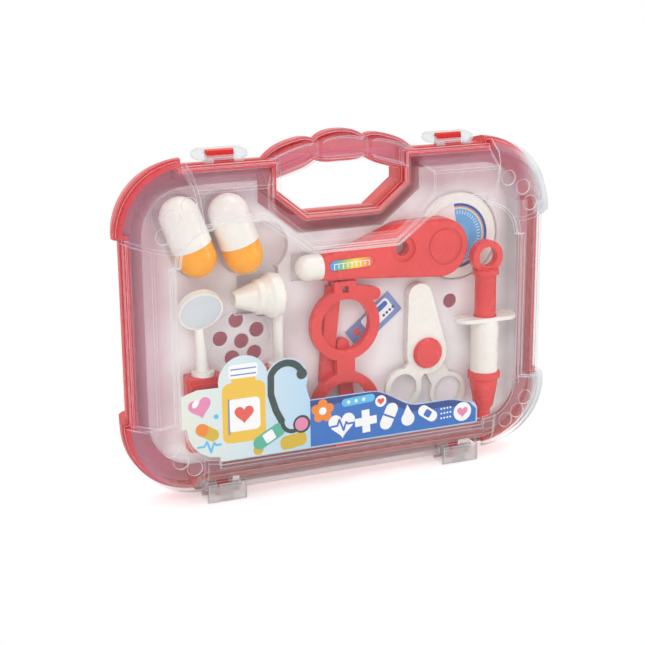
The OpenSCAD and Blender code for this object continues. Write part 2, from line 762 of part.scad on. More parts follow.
flange_hw = 20.8;
flange_t = 2.4;
flange_r = 8.6;                       // rounded ends of the finger flange
module syringe_frame() {
    at_parting() translate([syringe_x, syringe_y, 0]) children();
}
module syringe_barrel() {
    color(white) syringe_frame() difference() {
        union() {
            translate([0, 0, barrel_z1 - barrel_l]) cylinder(h = barrel_l, r = barrel_r);
            translate([0, 0, barrel_z1 - flange_t]) {
                for (s = [-1, 1]) translate([s * (flange_hw - flange_r), 0, 0])
                    cylinder(h = flange_t, r = flange_r);
                translate([flange_r - flange_hw, -flange_r, 0])
                    cube([2 * (flange_hw - flange_r), 2 * flange_r, flange_t]);
            }
        }
        translate([0, 0, barrel_z1 - barrel_l + 2]) cylinder(h = barrel_l, r = barrel_bore);
    }
}
module syringe_cap() {
    cap_z1 = barrel_z1 - barrel_l - 0.1;
    color(red) syringe_frame() rotate_extrude()
        polygon([[0, cap_z1 - 31], [4.2, cap_z1 - 31], [4.7, cap_z1 - 25], [6.4, cap_z1 - 22.5],
            [barrel_r - 0.2, cap_z1 - 8.5], [barrel_r, cap_z1 - 5.5], [collar_r, cap_z1 - 4],
            [collar_r, cap_z1 - 0.6], [barrel_r + 0.9, cap_z1], [0, cap_z1]]);
}
ring_hole_r = 6.3;
module syringe_plunger() {
    head_z = barrel_z1 - barrel_l + 3 + plunger_travel;
    stem_z1 = plunger_ring_z - 9.6;
    color(red) syringe_frame() {
        translate([0, 0, head_z]) cylinder(h = 5, r = barrel_bore - 0.08);
        translate([0, 0, head_z]) cylinder(h = stem_z1 - head_z, r = barrel_bore - 0.6);
        translate([0, 0, stem_z1 - 1.5]) cylinder(h = 3, r = barrel_bore + 1);
        translate([0, 3, plunger_ring_z]) rotate([90, 0, 0]) difference() {
            cylinder(h = 6, r = 10.4);
            translate([0, 0, -1]) cylinder(h = 8, r = ring_hole_r);
        }
    }
}

// ---------- lid ----------

// Volume of the lid; g draws every face in by the wall
module lid_form(g) {
    back = g > 0 ? 1 : 0;
    lip_y = -(rim_d - g);
    slab(lip_y, back) polygon(outline(g));
    ins = [shoulder_in + g * 1.2, lip_w + g * 1.2, lip_w + g * 1.2];
    case_loft(ins, [-(shoulder_d - g), lip_y, lip_y + 0.5], ins);
    // the window panel rises in two steps
    slab(-(lid_d - panel_rise / 2 - g), -(shoulder_d - g) + 1) polygon(window(g));
    slab(-(lid_d - g), -(lid_d - panel_rise / 2 - g) + 0.5) polygon(window((g > 0 ? panel_in : bevel) + g / 2));
    corner_pads([[0, -(pad_d - g)], [bump_r - 17.6 - g, -(pad_d - g)],
        [bump_r - 12.6 - g, -(pad_d - 1.5 - g)], [bump_r - 6.6 - g, -(20 - g)],
        [bump_r - g, lip_y], [bump_r - g, back], [0, back]], g);
}

foot_front_y = -12;
module foot_profile() {
    polygon([[foot_front_y, case_bottom + 0.5], [foot_front_y, 2.4], [foot_front_y + 0.8, 0.6],
        [foot_front_y + 2.4, 0], [0, 0], [0, hinge_z], [-hinge_z, hinge_z + 2],
        [-1, case_bottom + 1]]);
    translate([0, hinge_z]) circle(r = hinge_z);
}
// Hinge foot: two knuckles joined by a front apron, open in the middle for the ear
module hinge_foot() {
    slot_w = ear_w + 2 * gap;
    translate([foot_x - foot_w / 2, 0, 0]) difference() {
        rotate([90, 0, 90]) linear_extrude(foot_w) foot_profile();
        translate([foot_w / 2 - slot_w / 2, foot_front_y + 2.2, -1])
            cube([slot_w, 20, case_bottom + 0.8]);
        translate([-1, 0, hinge_z]) rotate([0, 90, 0])
            cylinder(h = foot_w + 2, r = pin_r + pin_gap);
    }
}

// One dimple in a pad, at angle "a" about the corner's middle at height "z"
module dimple(ring, a, z) {
    translate([corner_x + ring * cos(a), 0, z + ring * sin(a)])
        cone_y(-lid_d - 1, -pad_d + 0.7, dimple_r, dimple_r);
}

module lid_shell() {
    color(clear_tint, 0.4) at_parting() {
        difference() {
            union() {
                lid_form(0);
                hinge_band(-rim_d, 0);
            }
            lid_form(wall);
            // round dimples in the corner pads
            both_sides() {
                for (a = [13, 43, 74]) dimple(dimple_ring, a, corner_top_z);
                for (a = [22, 46, 70]) dimple(dimple_ring + 1.1, -a, corner_bot_z);
            }
        }
        difference() {
            handle_half(-1, 0, 0);
            handle_half(-1, wall, 1);
            slab(-lid_d, 1) polygon(outline(wall));
        }
        both_sides() hinge_foot();
    }
}

label_y = -(lid_d - wall) + 0.3;      // the label lies behind the window panel
label_left = -(window_hw - 4);
label_right = 83.5;
// Eased step from 0 to 1
function ease(t) = t <= 0 ? 0 : t >= 1 ? 1 : (1 - cos(180 * t)) / 2;
// Top edge of the label's band: a hill that falls away to the right
function label_wave(x) = 61.5 - 12.5 * ease((x - 10) / 32) - 4.5 * ease((x - 62) / 22);
// Outline of the label: it follows the window at the left and below, with two round tops
module label_outline() {
    intersection() {
        polygon(window(panel_in + wall / 2 + gap));
        union() {
            polygon(concat([[-window_hw, window_bot], [label_right, window_bot], [label_right, 41]],
                [for (k = [0:18]) let (x = label_right - 2 - 6.2 * k) [x, label_wave(x)]],
                [[-34, 76], [label_left + 10, 77], [label_left, 74], [-window_hw, 72]]));
            translate([label_left + 38.5, 79]) circle(r = 15.5);
            translate([label_left + 65.5, 76]) circle(r = 13.5);
        }
    }
}
module label() {
    color("#1565C0") at_parting() slab(label_y, label_y + label_t) label_outline();
}

// ---------- latches ----------

bead_r = 1.2;
latch_axis_y = -6;
latch_axis_z = case_top + gap + bead_r;
slot_w = lug_w + 1.2;
slot_y0 = 5;
slot_y1 = 12.3;
module latch_flap() {
    at_parting() translate([latch_x, latch_axis_y, latch_axis_z]) rotate([latch_tilt, 0, 0]) {
        difference() {
            union() {
                translate([-latch_w / 2 + 5, 2, -latch_t / 2])
                    cube([latch_w - 10, latch_l - 2, latch_t]);
                for (s = [-1, 1]) translate([s * (latch_w / 2 - 7), latch_l - 7, -latch_t / 2])
                    cylinder(h = latch_t, r = 7);
            }
            translate([-slot_w / 2, slot_y0, -latch_t]) cube([slot_w, slot_y1 - slot_y0, 2 * latch_t]);
        }
        // straps that end in a bead on the lid's edge
        for (s = [-1, 1]) translate([s * 9 - 2.5, 0, 0]) {
            translate([0, 0, -latch_t / 2 + 0.3]) cube([5, 3, latch_t - 0.6]);
            rotate([0, 90, 0]) cylinder(h = 5, r = bead_r);
        }
    }
}
module latch_left() { color(clear_tint, 0.5) mirror([1, 0, 0]) latch_flap(); }
module latch_right() { color(clear_tint, 0.5) latch_flap(); }

back_shell();
tray();
capsule_body(capsules[0]);  // capsule_left_body
capsule_cap(capsules[0]);  // capsule_left_cap
capsule_body(capsules[1]);  // capsule_right_body
capsule_cap(capsules[1]);  // capsule_right_cap
mirror_frame();
mirror_face();
mirror_grip();
scope_head();
scope_grip();
thermometer_body();
thermometer_tip();
thermometer_scale();
gauge_body();
gauge_dial();
glasses_frame();
temple_upper();
temple_lower();
scissors_back();
scissors_front();
scissors_rivet();
syringe_barrel();
syringe_cap();
syringe_plunger();
picture_card();
lid_shell();
label();
latch_left();
latch_right();
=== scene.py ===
"""Toy doctor case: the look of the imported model, and the studio it stands in.

Everything is in metres in the part's own frame: X across the case, the clear front faces -Y, Z up
from the feet.  Sizes below are written in millimetres and turned by mm().
"""

import math

import bpy
from mathutils import Matrix, Vector


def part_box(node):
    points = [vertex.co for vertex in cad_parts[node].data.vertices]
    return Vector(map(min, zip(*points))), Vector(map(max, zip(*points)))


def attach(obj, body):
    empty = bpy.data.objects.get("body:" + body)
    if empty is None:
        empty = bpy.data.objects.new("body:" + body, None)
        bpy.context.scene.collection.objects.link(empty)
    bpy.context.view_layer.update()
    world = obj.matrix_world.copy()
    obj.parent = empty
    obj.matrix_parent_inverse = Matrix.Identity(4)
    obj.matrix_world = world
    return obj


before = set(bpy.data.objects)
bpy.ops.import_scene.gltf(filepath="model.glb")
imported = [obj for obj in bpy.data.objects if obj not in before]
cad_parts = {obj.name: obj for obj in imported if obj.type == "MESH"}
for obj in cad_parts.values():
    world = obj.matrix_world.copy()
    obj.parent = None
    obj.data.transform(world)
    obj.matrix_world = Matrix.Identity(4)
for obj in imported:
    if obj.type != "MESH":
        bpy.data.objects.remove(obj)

bpy.context.scene.view_settings.view_transform = "Standard"
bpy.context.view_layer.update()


def mm(*values):
    """Millimetres to metres: one number, or a point."""
    return values[0] / 1000 if len(values) == 1 else Vector(v / 1000 for v in values)


def shade(code):
    """An sRGB hex colour as Blender's linear values."""
    parts = [int(code[i : i + 2], 16) / 255 for i in (1, 3, 5)]
    return (*(c / 12.92 if c <= 0.04045 else ((c + 0.055) / 1.055) ** 2.4 for c in parts), 1.0)


def add(tree, kind, inputs=(), stops=(), **settings):
    """Adds a node with its settings, and sets or links its inputs, given by name or in order.
    A node given as an input is linked from its first output in use.  A hex colour is turned to
    linear.  stops are a colour ramp's places and colours."""
    new = tree.nodes.new("ShaderNode" + kind)
    for key, value in settings.items():
        setattr(new, key, value)
    while len(stops) > 2 and len(new.color_ramp.elements) < len(stops):
        new.color_ramp.elements.new(0.5)
    for k, (position, code) in enumerate(stops):
        new.color_ramp.elements[k].position = position
        new.color_ramp.elements[k].color = shade(code)
    for key, value in inputs.items() if isinstance(inputs, dict) else enumerate(inputs):
        if isinstance(value, bpy.types.Node):
            value = next(socket for socket in value.outputs if socket.enabled)
        if isinstance(value, bpy.types.NodeSocket):
            tree.links.new(value, new.inputs[key])
        else:
            new.inputs[key].default_value = shade(value) if isinstance(value, str) else value
    return new


# ---------------------------------------------------------------- camera

SENSOR = 36  # width in mm
PICTURE = 645  # width of the picture in pixels
FOCAL = 1486  # focal length in the same pixels, from the fit to the case's edges

lens = bpy.data.cameras.new("photo_camera")
lens.sensor_width = SENSOR
lens.lens = SENSOR * FOCAL / PICTURE
camera = bpy.data.objects.new("photo_camera", lens)
bpy.context.scene.collection.objects.link(camera)
# its axes and place, from the same fit
right = Vector((0.91983, -0.39220, -0.00923))
up = Vector((0.11266, 0.24153, 0.96383))
back = Vector((-0.37579, -0.88760, 0.26635))
turn = Matrix((right, up, back)).transposed().to_4x4()
camera.matrix_world = Matrix.Translation(mm(-351.3, -800.3, 342.2)) @ turn
bpy.context.scene.camera = camera


# ---------------------------------------------------------------- plastics

PARTING = 2.5  # y of the plane where lid and back shell meet
LID_DEPTH = 26
LID_WALL = 1.8
PLASTIC_IOR = 1.5

# widths of the patterns in millimetres
FLOW_CLOUD = 20
GLOSS_CLOUD = 8.333
MILKY_CLOUD = 38.46
RIPPLE = 16.667
ORANGE_PEEL = 0.7143  # coarser than the real skin, so that it shows
PRINT_SCREEN = 0.8  # coarser than the real screen, so that it shows
COAT_CLOUD = 5
PAPER_TOOTH = 1.111


def start(name):
    """An empty material, its tree, and the piece's own coordinates."""
    material = bpy.data.materials.new(name)
    material.use_nodes = True
    tree = material.node_tree
    tree.nodes.clear()
    return material, tree, add(tree, "TexCoord").outputs["Object"]


def every(width):
    """The scale of a pattern from its width in millimetres."""
    return 1000 / width


def wander(tree, place, low, high, width):
    """A number that wanders between low and high, in soft clouds of one width."""
    noise = add(tree, "TexNoise", {"Vector": place, "Scale": every(width), "Detail": 2})
    # the noise seldom leaves 0.3 to 0.7
    return add(tree, "MapRange", (noise.outputs["Fac"], 0.3, 0.7, low, high))


def moulded(name, colour, deeper, roughness, edge=0.35, soft=0.0, painted_veil=()):
    """Injection-moulded plastic: an even colour with faint flow clouds, a gloss that wanders a
    little, a fine skin of orange peel, and edges rounded by the tool.  A pair of veil colours,
    where given, paints an inside wall that faces forward dull and pale pink, paler low down and
    redder high
    up: painted light for the haze and reflections of the clear lid and tray in front of it,
    lightened against the shade deep in the shell."""
    material, tree, place = start(name)
    clouds = wander(tree, place, 0, 1, FLOW_CLOUD)
    colours = add(tree, "Mix", {0: clouds, 6: colour, 7: deeper}, data_type="RGBA")
    gloss = wander(tree, place, roughness - 0.05, roughness + 0.07, GLOSS_CLOUD)
    if painted_veil:
        at = add(tree, "SeparateXYZ", (place,)).outputs
        flat = add(tree, "NewGeometry").outputs["Normal"]
        facing = add(tree, "SeparateXYZ", (flat,)).outputs["Y"]
        forward = add(tree, "Math", (facing, -0.2), operation="LESS_THAN")
        deep = add(tree, "Math", (at["Y"], mm(5)), operation="GREATER_THAN")
        inside = add(tree, "Math", (forward, deep), operation="MULTIPLY")
        below_grip = add(tree, "Math", (at["Z"], mm(205)), operation="LESS_THAN")
        inside = add(tree, "Math", (inside, below_grip), operation="MULTIPLY")
        # painted light: pale pink for the veil of the clear lid and tray and against the shade
        # inside, paler low down, redder high up
        high = add(tree, "MapRange", (at["Z"], mm(165), mm(195)))
        painted_veil_colours = add(tree, "Mix", {0: high, 6: painted_veil[0], 7: painted_veil[1]}, data_type="RGBA")
        colours = add(tree, "Mix", {0: inside, 6: colours, 7: painted_veil_colours}, data_type="RGBA")
        gloss = add(tree, "Math", (inside, 0.2, gloss), operation="MULTIPLY_ADD")
    peel = add(tree, "TexNoise", {"Vector": place, "Scale": every(ORANGE_PEEL), "Detail": 1})
    rounded = add(tree, "Bevel", {"Radius": mm(edge)}, samples=4)
    skin = {"Strength": 0.25, "Distance": mm(0.02), "Height": peel.outputs["Fac"]}
    surface = add(
        tree,
        "BsdfPrincipled",
        {
            "Base Color": colours,
            "Roughness": gloss,
            "IOR": PLASTIC_IOR,
            "Normal": add(tree, "Bump", {**skin, "Normal": rounded}),
            "Subsurface Weight": soft,
            "Subsurface Radius": mm(4, 2, 1),
        },
    )
    add(tree, "OutputMaterial", {"Surface": surface})
    return material


def see_through(
    name,
    colour,
    haze,
    slant_haze_and_reflection,
    edge_mm,
    edge_highlight_and_haze=0.7,
    roughness=0.1,
    uneven=0.15,
    worked=None,
):
    """Clear plastic: glassy face on, and milkier where it is seen at a slant along the wall, a
    painted reflection of the white room with the haze of the longer path through it.  White where
    an
    edge or a step turns: a painted highlight along the edge, with the haze of the plastic thickened
    there.  worked changes its haze and colour by place, and says how much of it shows."""
    material, tree, place = start(name)
    rounded = add(tree, "Bevel", {"Radius": mm(edge_mm)}, samples=6)
    flat = add(tree, "NewGeometry").outputs["Normal"]
    along = add(tree, "VectorMath", (rounded, flat), operation="DOT_PRODUCT").outputs["Value"]
    # where the surface turns, the plastic is drawn denser and white: a painted highlight along each
    # edge and step
    edge = add(tree, "MapRange", (along, 0.985, 0.78))
    # milkier at a slant: painted reflection of the white room, with the haze of the longer path
    # through the wall
    slant = add(tree, "LayerWeight", {"Blend": 0.5}).outputs["Facing"]
    slant = add(tree, "Math", (slant, 3.0), operation="POWER")
    grazing_haze_and_reflection = add(tree, "Math", (slant, slant_haze_and_reflection), operation="MULTIPLY")
    body = wander(tree, place, haze * (1 - uneven), haze * (1 + uneven), MILKY_CLOUD)
    shown = 1.0
    if worked:
        at = add(tree, "SeparateXYZ", (place,)).outputs
        body, colour, shown = worked(tree, at, flat, body, colour)
    body = add(tree, "Math", (body, grazing_haze_and_reflection), operation="ADD")
    dense = add(tree, "Math", (edge, edge_highlight_and_haze, body), operation="MULTIPLY_ADD", use_clamp=True)
    dense = add(tree, "Math", (dense, shown), operation="MULTIPLY")
    # light that goes on to what lies behind is hardly held back
    path = add(tree, "LightPath").outputs
    passing = (path["Is Shadow Ray"], path["Is Diffuse Ray"])
    passing = add(tree, "Math", passing, operation="MAXIMUM")
    kept = add(tree, "Math", (passing, -0.6, 1.0), operation="MULTIPLY_ADD")
    ripple = add(tree, "TexNoise", {"Vector": place, "Scale": every(RIPPLE), "Detail": 1})
    skin = {"Strength": 0.12, "Distance": mm(0.3), "Height": ripple.outputs["Fac"]}
    surface = add(
        tree,
        "BsdfPrincipled",
        {
            "Base Color": add(tree, "Mix", {0: edge, 6: colour, 7: "#FFFFFF"}, data_type="RGBA"),
            "Roughness": roughness,
            "IOR": 1.49,
            "Specular IOR Level": 0.3,
            "Alpha": add(tree, "Math", (dense, kept), operation="MULTIPLY"),
            "Normal": add(tree, "Bump", {**skin, "Normal": rounded}),
        },
    )
    add(tree, "OutputMaterial", {"Surface": surface})
    return material


def formed_sheet(tree, at, flat, body, colour):
    """A sheet formed over a block is hazier low down, and is drawn thin, and so clearer, towards
    its turned-down sides."""
    low = add(tree, "MapRange", (at["Z"], mm(150), mm(70), 0, 0.36))
    body = add(tree, "Math", (body, low), operation="ADD")
    span = add(tree, "Math", (at["X"],), operation="ABSOLUTE")
    ends = add(tree, "MapRange", (span, mm(104), mm(116), 1, 0.4))
    top = add(tree, "MapRange", (at["Z"], mm(172), mm(184), 1, 0.5))
    bottom = add(tree, "MapRange", (at["Z"], mm(34), mm(26), 1, 0.5))
    for thin in (ends, top, bottom):
        body = add(tree, "Math", (body, thin), operation="MULTIPLY")
    return body, colour, 1.0


def lid_walls(tree, at, flat, body, colour):
    """The lid has a polished window, dull solid feet, and a right side that is milkier than the
    left, a painted reflection and refraction of the white room in its slanted walls.  It is tinted
    with painted light: pink at the top and left, where the red shell would show through, and grey
    shade at the bottom and right."""
    look = add(tree, "SeparateXYZ", (flat,)).outputs
    level = add(tree, "Math", (look["Y"],), operation="ABSOLUTE")
    faces = add(tree, "Math", (level, 0.9), operation="GREATER_THAN")
    outer, inner = PARTING - LID_DEPTH, PARTING - LID_DEPTH + LID_WALL
    front = add(tree, "Math", (at["Y"], mm(outer), mm(0.3)), operation="COMPARE")
    rear = add(tree, "Math", (at["Y"], mm(inner), mm(0.1)), operation="COMPARE")
    window = add(tree, "Math", (front, rear), operation="MAXIMUM")
    window = add(tree, "Math", (faces, window), operation="MULTIPLY")
    polish = add(tree, "Math", (0.03, body), operation="SUBTRACT")
    body = add(tree, "Math", (window, polish, body), operation="MULTIPLY_ADD")

    feet = add(tree, "MapRange", (at["Z"], mm(12.5), mm(10), 0, 0.5))
    # walls facing sideways at the right end are milkier: painted reflection and refraction of the
    # white room
    across = add(tree, "Math", (look["X"],), operation="ABSOLUTE")
    sideways = add(tree, "Math", (across, 1.6), operation="MULTIPLY", use_clamp=True)
    right_side = add(tree, "MapRange", (at["X"], mm(110), mm(124), 0, 0.6))
    right_side_painted_reflection = add(tree, "Math", (sideways, right_side), operation="MULTIPLY")
    grip = add(tree, "MapRange", (at["Z"], mm(206), mm(209), 0, 0.1))
    grip_front = add(tree, "Math", (faces, grip), operation="MULTIPLY")
    for more in (feet, right_side_painted_reflection, grip_front):
        body = add(tree, "Math", (body, more), operation="ADD")

    # painted light on the walls: pink where the red shell would show through at the top and left,
    # grey shade at the bottom and right
    for axis, low, high, painted_tint in (
        ("Z", 60, 25, "#C6C0C0"),
        ("Z", 160, 200, "#DDB0C0"),
        ("X", -112, -122, "#DDB4CB"),
        ("X", 112, 122, "#CDD2D6"),
    ):
        there = add(tree, "MapRange", (at[axis], mm(low), mm(high)))
        colour = add(tree, "Mix", {0: there, 6: colour, 7: painted_tint}, data_type="RGBA")

    # clearer where its sides lie close on the red: along the rim, in the notch and on the handle
    rim = add(tree, "MapRange", (at["Y"], mm(-8), mm(-5)))
    span = add(tree, "Math", (at["X"],), operation="ABSOLUTE")
    notch_wide = add(tree, "MapRange", (span, mm(50), mm(47)))
    notch_high = add(tree, "MapRange", (at["Z"], mm(156), mm(158)))
    notch = add(tree, "Math", (notch_wide, notch_high), operation="MULTIPLY")
    handle = add(tree, "MapRange", (at["Z"], mm(206), mm(209)))
    close = add(tree, "Math", (rim, notch), operation="MAXIMUM")
    close = add(tree, "Math", (close, handle), operation="MAXIMUM")
    close = add(tree, "Math", (close, -0.88), operation="MULTIPLY")
    ahead = add(tree, "Math", (level, 0.6), operation="GREATER_THAN")
    sides = add(tree, "Math", (1.0, ahead), operation="SUBTRACT")
    return body, colour, add(tree, "Math", (close, sides, 1.0), operation="MULTIPLY_ADD")


# polypropylene from a polished tool: a strong warm red, dull deep inside the shell, where a painted
# pale pink veil stands in for the haze and reflections of the clear lid and tray and lightens the
# shade there
case_red = moulded(
    "gloss_red_polypropylene", "#DC1408", "#D31207", roughness=0.26, painted_veil=("#F098A6", "#DC5F76")
)
# polystyrene: brittle, bright and glossier than the case, in coral, white and orange
tool_red = moulded("coral_red_polystyrene", "#EB403E", "#DE3533", roughness=0.24)
tool_white = moulded("white_polystyrene", "#F6F3EC", "#EEEAE1", roughness=0.25, soft=0.1)
capsule_orange = moulded("orange_polystyrene", "#FFAC08", "#FFA200", roughness=0.24)
# foil laid on a disc: pale grey plastic whose colour is a painted reflection of the white room,
# under an even sheen with a crisp edge
mirror_painted_reflection = moulded("mirror_disc_painted_reflection", "#DCE3E7", "#D2DADF", roughness=0.12, edge=0.1)
# clear moulded polypropylene: nearly unseen face on, with bright outlines at every step, painted as
# white highlights
lid_clear = see_through(
    "clear_polypropylene", "#EBE3E7", 0.11, 0.6, edge_mm=0.9, edge_highlight_and_haze=0.9, worked=lid_walls
)
# the same plastic in a small thick flap: cooler and easier to see
latch_clear = see_through("clear_polypropylene_latch", "#C8CFD3", 0.25, 0.5, edge_mm=0.5)
# vacuum-formed sheet: a soft uneven haze that veils the red behind it
tray_clear = see_through(
    "formed_clear_pvc",
    "#FFFAFB",
    0.52,
    0.4,
    edge_mm=1.2,
    edge_highlight_and_haze=0.3,
    roughness=0.2,
    uneven=0.32,
    worked=formed_sheet,
)


# ---------------------------------------------------------------- printed faces


def ink(name, colour, deeper):
    """Ink on coated film or card: flat colour with a coarse screen that barely shows."""
    material, tree, place = start(name)
    dots = add(tree, "TexVoronoi", {"Vector": place, "Scale": every(PRINT_SCREEN)})
    grain = add(tree, "MapRange", {"Value": dots.outputs["Distance"], "To Max": 0.35})
    screened = add(tree, "Mix", {0: grain, 6: colour, 7: deeper}, data_type="RGBA")
    gloss = wander(tree, place, 0.33, 0.46, COAT_CLOUD)
    face = {"Base Color": screened, "Roughness": gloss, "IOR": PLASTIC_IOR}
    add(tree, "OutputMaterial", {"Surface": add(tree, "BsdfPrincipled", face)})
    return material


def coated(tree, place, colours):
    """Ends a material as print under a smooth clear coat."""
    gloss = wander(tree, place, 0.3, 0.42, COAT_CLOUD)
    face = add(tree, "BsdfPrincipled", {"Base Color": colours, "Roughness": gloss})
    add(tree, "OutputMaterial", {"Surface": face})


def centred(tree, place, node_name):
    """X and Z in millimetres from the middle of a CAD node, and its width."""
    low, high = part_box(node_name)
    middle = [-500 * (a + b) for a, b in zip(low, high)]
    moved = add(
        tree, "Mapping", {"Vector": place, "Location": middle, "Scale": (1000, 1000, 1000)}
    )
    at = add(tree, "SeparateXYZ", (moved,)).outputs
    return at["X"], at["Z"], 1000 * (high[0] - low[0])


def dial_print():
    """Printed gauge face: a blue fan with a dark rim and a thin warm line, on pale card."""
    material, tree, place = start("printed_gauge_face")
    x, z, wide = centred(tree, place, "gauge_dial")
    squares = [add(tree, "Math", (side, 2.0), operation="POWER") for side in (x, z)]
    out = add(tree, "Math", squares, operation="ADD")
    out = add(tree, "Math", (out,), operation="SQRT")
    radius = wide / 2
    rings = add(
        tree,
        "ValToRGB",
        (add(tree, "Math", (out, radius), operation="DIVIDE"),),
        stops=(
            (0.0, "#2F63A8"),
            (0.1, "#6FB4E6"),
            (0.42, "#62A9DF"),
            (0.78, "#6CB2E4"),
            (0.84, "#F3E3B0"),
            (0.87, "#F0A35E"),
            (0.9, "#6E86C8"),
            (0.93, "#27499C"),
        ),
    )
    rings.color_ramp.interpolation = "CONSTANT"
    around = add(tree, "Math", (z, x), operation="ARCTAN2")
    # 48 short marks in a ring near the rim
    marks = add(tree, "Math", (around, 48.0), operation="MULTIPLY")
    marks = add(tree, "Math", (marks,), operation="SINE")
    marks = add(tree, "Math", (marks, 0.8), operation="GREATER_THAN")
    ring = add(tree, "Math", (out, radius * 0.72, radius * 0.05), operation="COMPARE")
    marks = add(tree, "Math", (marks, ring), operation="MULTIPLY")
    colours = add(tree, "Mix", {0: marks, 6: rings, 7: "#FFFFFF"}, data_type="RGBA")
    # bare card at the upper left, within 52 degrees of its middle, where the fan stops
    bare = (around, math.radians(150), math.radians(52))
    bare = add(tree, "Math", bare, operation="COMPARE")
    colours = add(tree, "Mix", {0: bare, 6: colours, 7: "#EFE9EA"}, data_type="RGBA")
    coated(tree, place, colours)
    return material


def scale_print():
    """Printed thermometer strip: cold blue to warm red along its length."""
    material, tree, place = start("printed_scale_strip")
    x, z, length = centred(tree, place, "thermometer_scale")
    colours = add(
        tree,
        "ValToRGB",
        (add(tree, "Math", (x, 1 / length, 0.5), operation="MULTIPLY_ADD"),),
        stops=(
            (0.05, "#3A9BE8"),
            (0.22, "#4FB59A"),
            (0.42, "#C3D04A"),
            (0.6, "#FFD83D"),
            (0.8, "#FF9E36"),
            (0.98, "#F0524A"),
        ),
    )
    coated(tree, place, colours)
    return material


def label_film():
    """Printed film: pale at the left end, running to a cool blue-white at its middle."""
    material, tree, place = start("printed_label_film")
    at = add(tree, "SeparateXYZ", (place,)).outputs
    across = add(tree, "MapRange", (at["X"], mm(-112), mm(-28)))
    stops = ((0.0, "#E6EADB"), (0.45, "#D6E7EC"), (1.0, "#B7D8F0"))
    coated(tree, place, add(tree, "ValToRGB", (across,), stops=stops))
    return material


inks = {
    name: ink("ink_" + name, *codes)
    for name, codes in {
        "blue": ("#1F6FC4", "#1B63B4"),
        "navy": ("#123C86", "#0F3576"),
        "cyan": ("#5CC4EE", "#4DB6E4"),
        "white": ("#FBFBFA", "#F2F3F4"),
        "pink": ("#E88BB4", "#DF7DA8"),
        "coral": ("#E8574C", "#DC4A40"),
        "orange": ("#F28A1E", "#E67C12"),
        "mustard": ("#D9B92A", "#CBAA1C"),
        "teal": ("#55B79F", "#48AA92"),
        "green": ("#22403A", "#1C3732"),
        "amber": ("#F2C63C", "#E8B82C"),
        "steel": ("#7C93C6", "#6F88BE"),
    }.items()
}

finishes = {
    "back_shell": case_red,
    "tray": tray_clear,
    "lid_shell": lid_clear,
    "latch_left": latch_clear,
    "latch_right": latch_clear,
    "capsule_left_body": capsule_orange,
    "capsule_right_body": capsule_orange,
    "mirror_face": mirror_painted_reflection,
    "gauge_dial": dial_print(),
    "picture_card": inks["steel"],
    "label": label_film(),
    "thermometer_scale": scale_print(),
}
for name in (
    "capsule_left_cap",
    "capsule_right_cap",
    "mirror_frame",
    "scope_head",
    "thermometer_tip",
    "gauge_body",
    "scissors_back",
    "scissors_front",
    "syringe_barrel",
):
    finishes[name] = tool_white
for name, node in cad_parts.items():
    node.data.materials.clear()
    node.data.materials.append(finishes.get(name, tool_red))


# ---------------------------------------------------------------- printed shapes
# Outlines are lists of (x, z) points in millimetres, seen from the front.


def turned(points, x, z, angle=0.0, size=1.0):
    """An outline drawn round the origin, put at (x, z)."""
    c, s = math.cos(math.radians(angle)) * size, math.sin(math.radians(angle)) * size
    return [(x + u * c - v * s, z + u * s + v * c) for u, v in points]


def disc(x, z, r, tall=1.0, angle=0.0):
    """A disc, or an oval where tall isn't 1."""
    turns = [k * math.tau / 36 for k in range(36)]
    return turned([(r * math.cos(t), r * tall * math.sin(t)) for t in turns], x, z, angle)


def bar(x, z, wide, high, radius, angle=0.0):
    """A rectangle with round corners."""
    radius = min(radius, wide / 2 - 0.01, high / 2 - 0.01)
    shape = []
    for k, (sx, sz) in enumerate(((1, 1), (-1, 1), (-1, -1), (1, -1))):
        cx, cz = sx * (wide / 2 - radius), sz * (high / 2 - radius)
        for j in range(7):
            t = math.radians(90 * k + 15 * j)
            shape.append((cx + radius * math.cos(t), cz + radius * math.sin(t)))
    return turned(shape, x, z, angle)


def heart(x, z, size, angle=0.0):
    """A heart as wide as its size."""
    shape = []
    for k in range(48):
        t = k * math.tau / 48
        across = 16 * math.sin(t) ** 3
        high = 13 * math.cos(t) - 5 * math.cos(2 * t) - 2 * math.cos(3 * t) - math.cos(4 * t)
        shape.append((across / 32, high / 32))
    return turned(shape[::-1], x, z, angle, size)


def plus(x, z, size, arm):
    """A plus sign with arms of one width."""
    a, b = size / 2, arm / 2
    shape = [(b, b), (b, a), (-b, a), (-b, b), (-a, b), (-a, -b), (-b, -b), (-b, -a), (b, -a)]
    return turned(shape + [(b, -b), (a, -b), (a, b)], x, z)


def drop(x, z, size):
    """A drop: a round belly under a point."""
    shape = [(0.0, 0.62)]
    for k in range(25):
        t = math.radians(130 + 280 * k / 24)
        shape.append((0.36 * math.cos(t), 0.36 * math.sin(t) - 0.14))
    return turned(shape, x, z, size=size)


def line(points, wide):
    """A line of even width along some points, with square ends."""
    left, other = [], []
    for k, (x, z) in enumerate(points):
        x0, z0 = points[max(k - 1, 0)]
        x1, z1 = points[min(k + 1, len(points) - 1)]
        length = math.hypot(x1 - x0, z1 - z0)
        nx, nz = -(z1 - z0) / length * wide / 2, (x1 - x0) / length * wide / 2
        left.append((x + nx, z + nz))
        other.append((x - nx, z - nz))
    return left + other[::-1]


def zigzag(points, wide):
    """A line with sharp turns, as one short bar for each stretch."""
    bars = []
    for (x0, z0), (x1, z1) in zip(points, points[1:]):
        length = math.hypot(x1 - x0, z1 - z0)
        angle = math.degrees(math.atan2(z1 - z0, x1 - x0))
        middle = ((x0 + x1) / 2, (z0 + z1) / 2)
        bars.append(bar(*middle, length + wide * 0.8, wide, wide * 0.45, angle))
    return bars


